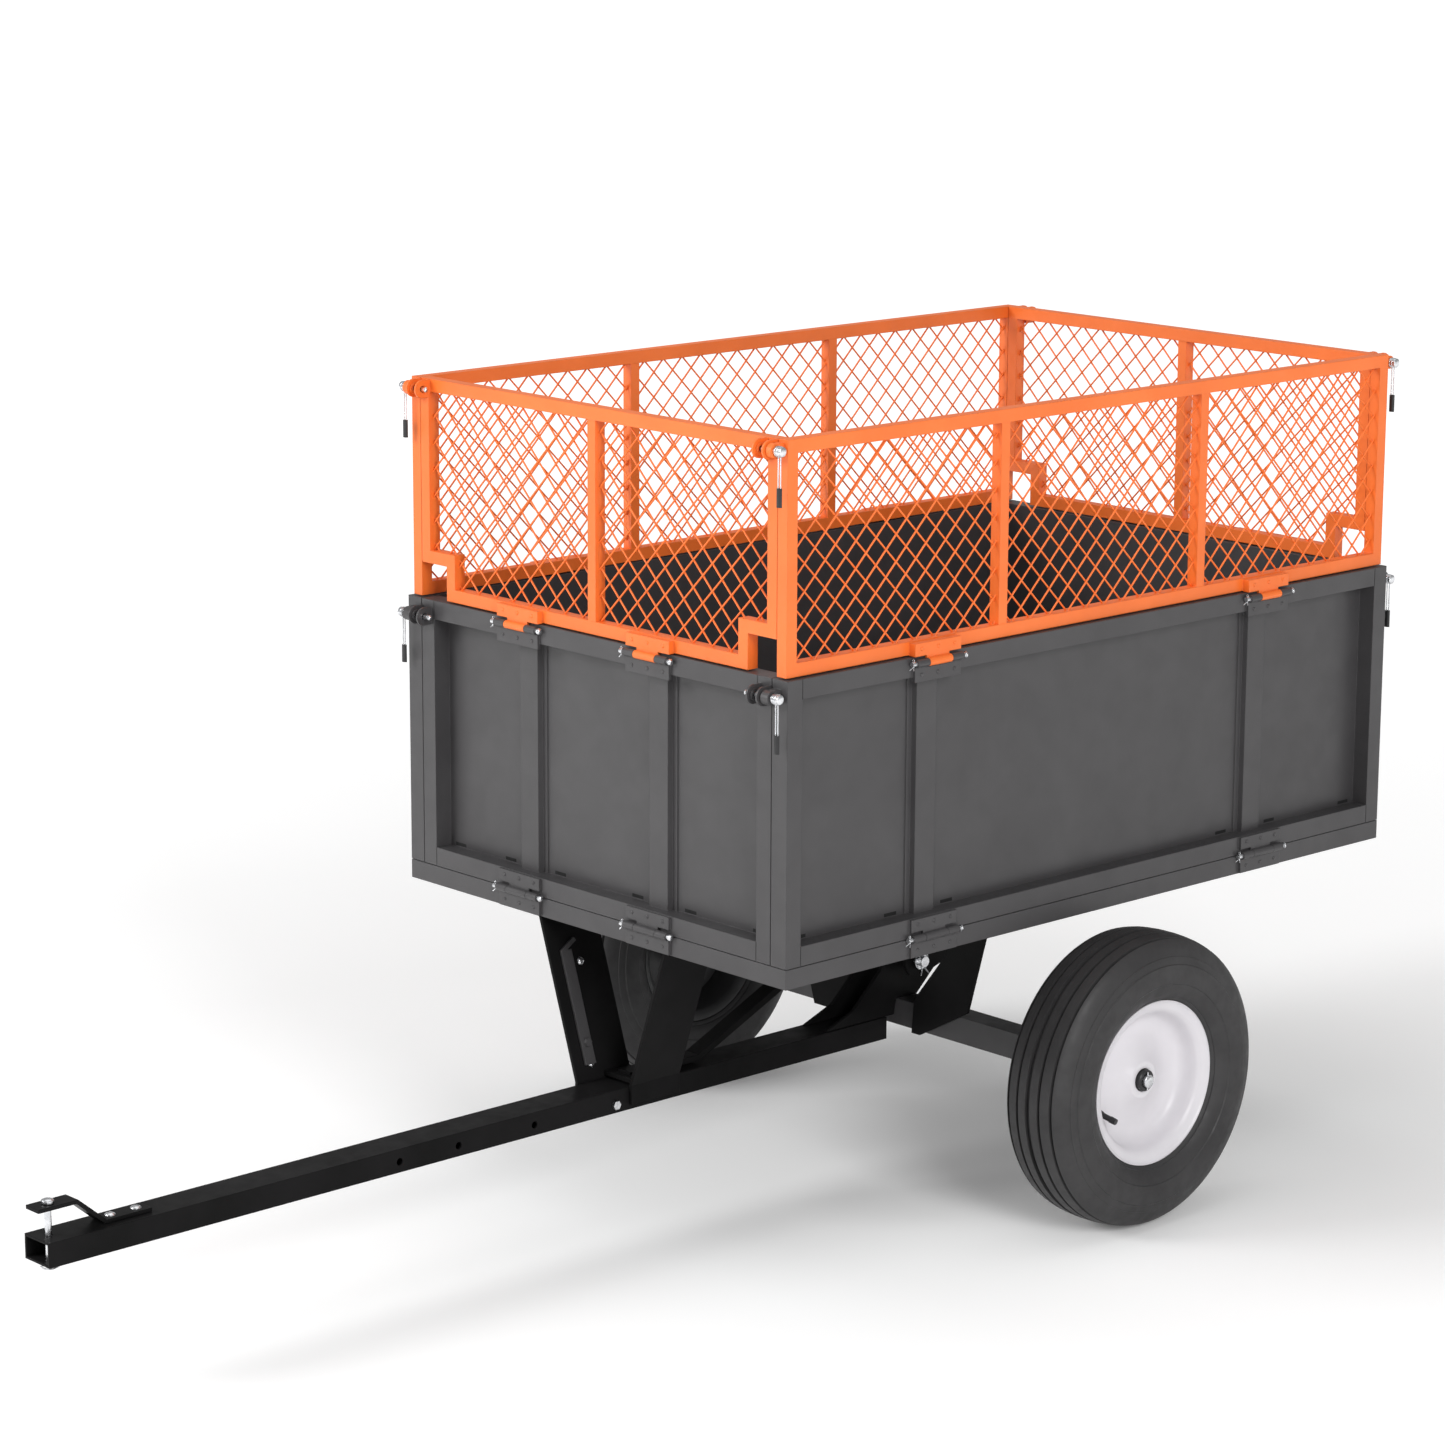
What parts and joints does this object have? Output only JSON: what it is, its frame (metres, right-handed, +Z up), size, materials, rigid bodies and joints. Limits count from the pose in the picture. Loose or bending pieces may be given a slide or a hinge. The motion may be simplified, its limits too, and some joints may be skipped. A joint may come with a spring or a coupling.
{
  "type": "tow behind yard cart",
  "caption": "Two-wheeled tow behind yard cart: black drop-side bed with orange fold-down wire mesh extensions, tilting on a long drawbar with a pin hitch.",
  "frame": {"origin": "on the ground, at the middle of the overall bounding box", "axes": "+Z up from the ground; -Y towards the hitch, the way the cart is towed; +X to the cart's left side"},
  "size_m": [1.02, 2.095, 1.1245],
  "materials": {
    "black_powder": "satin black powder coat",
    "orange_powder": "semi-gloss orange powder coat",
    "bright_zinc": "bright zinc plate",
    "tyre_rubber": "matt rubber",
    "rim_paint": "pale grey gloss paint",
    "bush_plastic": "matt black plastic",
    "steel_rope": "galvanised wire rope",
    "sleeve_plastic": "matt black plastic"
  },
  "bodies": {
    "chassis": {"drawbar": "black_powder", "hitch_strap": "black_powder", "latch_bolt": "bright_zinc", "axle_beam": "black_powder", "axle_end_left": "bright_zinc", "axle_end_right": "bright_zinc", "pivot_lug_left": "black_powder", "pivot_lug_right": "black_powder", "pivot_shaft": "bright_zinc"},
    "hitch_pin_body": {"hitch_pin": "bright_zinc"},
    "wheel_left": {"tyre_left": "tyre_rubber", "rim_left": "rim_paint", "bush_left": "bush_plastic"},
    "wheel_right": {"tyre_right": "tyre_rubber", "rim_right": "rim_paint", "bush_right": "bush_plastic"},
    "bed": {"floor_frame": "black_powder", "floor_sheet": "black_powder", "saddle": "black_powder", "strut_left": "black_powder", "strut_right": "black_powder", "strut_brace": "black_powder"},
    "lever": {"tilt_lever": "black_powder"},
    "front_side": {"front_panel": "black_powder"},
    "front_extension": {"front_mesh_frame": "orange_powder", "front_mesh": "orange_powder"},
    "rear_side": {"rear_panel": "black_powder"},
    "rear_extension": {"rear_mesh_frame": "orange_powder", "rear_mesh": "orange_powder"},
    "left_side": {"left_panel": "black_powder"},
    "left_extension": {"left_mesh_frame": "orange_powder", "left_mesh": "orange_powder"},
    "right_side": {"right_panel": "black_powder"},
    "right_extension": {"right_mesh_frame": "orange_powder", "right_mesh": "orange_powder"},
    "latch_front_left": {"latch_front_left_pin": "bright_zinc", "latch_front_left_rope": "steel_rope", "latch_front_left_sleeve": "sleeve_plastic"},
    "latch_front_right": {"latch_front_right_pin": "bright_zinc", "latch_front_right_rope": "steel_rope", "latch_front_right_sleeve": "sleeve_plastic"},
    "latch_rear_left": {"latch_rear_left_pin": "bright_zinc", "latch_rear_left_rope": "steel_rope", "latch_rear_left_sleeve": "sleeve_plastic"},
    "latch_rear_right": {"latch_rear_right_pin": "bright_zinc", "latch_rear_right_rope": "steel_rope", "latch_rear_right_sleeve": "sleeve_plastic"},
    "mesh_latch_front_left": {"mesh_latch_front_left_pin": "bright_zinc", "mesh_latch_front_left_rope": "steel_rope", "mesh_latch_front_left_sleeve": "sleeve_plastic"},
    "mesh_latch_front_right": {"mesh_latch_front_right_pin": "bright_zinc", "mesh_latch_front_right_rope": "steel_rope", "mesh_latch_front_right_sleeve": "sleeve_plastic"},
    "mesh_latch_rear_left": {"mesh_latch_rear_left_pin": "bright_zinc", "mesh_latch_rear_left_rope": "steel_rope", "mesh_latch_rear_left_sleeve": "sleeve_plastic"},
    "mesh_latch_rear_right": {"mesh_latch_rear_right_pin": "bright_zinc", "mesh_latch_rear_right_rope": "steel_rope", "mesh_latch_rear_right_sleeve": "sleeve_plastic"}
  },
  "joints": [
    {"name": "hitch_pin_lift", "type": "slide", "parent": "chassis", "child": "hitch_pin_body", "axis": [0, 0, 1], "range_m": [0, 0.09]},
    {"name": "wheel_left_spin", "type": "hinge", "parent": "chassis", "child": "wheel_left", "pos_m": [0, 0.4185, 0.203], "axis": [1, 0, 0], "continuous": true},
    {"name": "wheel_right_spin", "type": "hinge", "parent": "chassis", "child": "wheel_right", "pos_m": [0, 0.4185, 0.203], "axis": [1, 0, 0], "continuous": true},
    {"name": "bed_tilt", "type": "hinge", "parent": "chassis", "child": "bed", "pos_m": [0, 0.4185, 0.28], "axis": [-1, 0, 0], "range_deg": [0, 35]},
    {"name": "lever_turn", "type": "hinge", "parent": "bed", "child": "lever", "pos_m": [-0.04002, -0.1315, 0.2505], "axis": [0.9468, 0, 0.3219], "range_deg": [0, 25], "stiffness_Nm_per_rad": 0.15, "springref_deg": -17.19},
    {"name": "front_side_drop", "type": "hinge", "parent": "bed", "child": "front_side", "pos_m": [0, -0.164, 0.4465], "axis": [-1, 0, 0], "range_deg": [-105, 0]},
    {"name": "front_extension_fold", "type": "hinge", "parent": "front_side", "child": "front_extension", "pos_m": [0, -0.164, 0.8135], "axis": [1, 0, 0], "range_deg": [0, 175]},
    {"name": "rear_side_drop", "type": "hinge", "parent": "bed", "child": "rear_side", "pos_m": [0, 1.028, 0.4465], "axis": [1, 0, 0], "range_deg": [-105, 0]},
    {"name": "rear_extension_fold", "type": "hinge", "parent": "rear_side", "child": "rear_extension", "pos_m": [0, 1.028, 0.8135], "axis": [-1, 0, 0], "range_deg": [0, 175]},
    {"name": "left_side_drop", "type": "hinge", "parent": "bed", "child": "left_side", "pos_m": [0.385, 0.432, 0.4465], "axis": [0, -1, 0], "range_deg": [-110, 0]},
    {"name": "left_extension_fold", "type": "hinge", "parent": "left_side", "child": "left_extension", "pos_m": [0.385, 0.432, 0.8135], "axis": [0, 1, 0], "range_deg": [0, 175]},
    {"name": "right_side_drop", "type": "hinge", "parent": "bed", "child": "right_side", "pos_m": [-0.385, 0.432, 0.4465], "axis": [0, 1, 0], "range_deg": [-110, 0]},
    {"name": "right_extension_fold", "type": "hinge", "parent": "right_side", "child": "right_extension", "pos_m": [-0.385, 0.432, 0.8135], "axis": [0, -1, 0], "range_deg": [0, 175]},
    {"name": "latch_front_left_pull", "type": "slide", "parent": "left_side", "child": "latch_front_left", "axis": [1, 0, 0], "range_m": [0, 0.036], "stiffness_N_per_m": 300, "springref_m": -0.01},
    {"name": "latch_front_right_pull", "type": "slide", "parent": "right_side", "child": "latch_front_right", "axis": [-1, 0, 0], "range_m": [0, 0.036], "stiffness_N_per_m": 300, "springref_m": -0.01},
    {"name": "latch_rear_left_pull", "type": "slide", "parent": "left_side", "child": "latch_rear_left", "axis": [1, 0, 0], "range_m": [0, 0.036], "stiffness_N_per_m": 300, "springref_m": -0.01},
    {"name": "latch_rear_right_pull", "type": "slide", "parent": "right_side", "child": "latch_rear_right", "axis": [-1, 0, 0], "range_m": [0, 0.036], "stiffness_N_per_m": 300, "springref_m": -0.01},
    {"name": "mesh_latch_front_left_pull", "type": "slide", "parent": "left_extension", "child": "mesh_latch_front_left", "axis": [1, 0, 0], "range_m": [0, 0.03], "stiffness_N_per_m": 300, "springref_m": -0.01},
    {"name": "mesh_latch_front_right_pull", "type": "slide", "parent": "right_extension", "child": "mesh_latch_front_right", "axis": [-1, 0, 0], "range_m": [0, 0.03], "stiffness_N_per_m": 300, "springref_m": -0.01},
    {"name": "mesh_latch_rear_left_pull", "type": "slide", "parent": "left_extension", "child": "mesh_latch_rear_left", "axis": [1, 0, 0], "range_m": [0, 0.03], "stiffness_N_per_m": 300, "springref_m": -0.01},
    {"name": "mesh_latch_rear_right_pull", "type": "slide", "parent": "right_extension", "child": "mesh_latch_rear_right", "axis": [-1, 0, 0], "range_m": [0, 0.03], "stiffness_N_per_m": 300, "springref_m": -0.01}
  ]
}
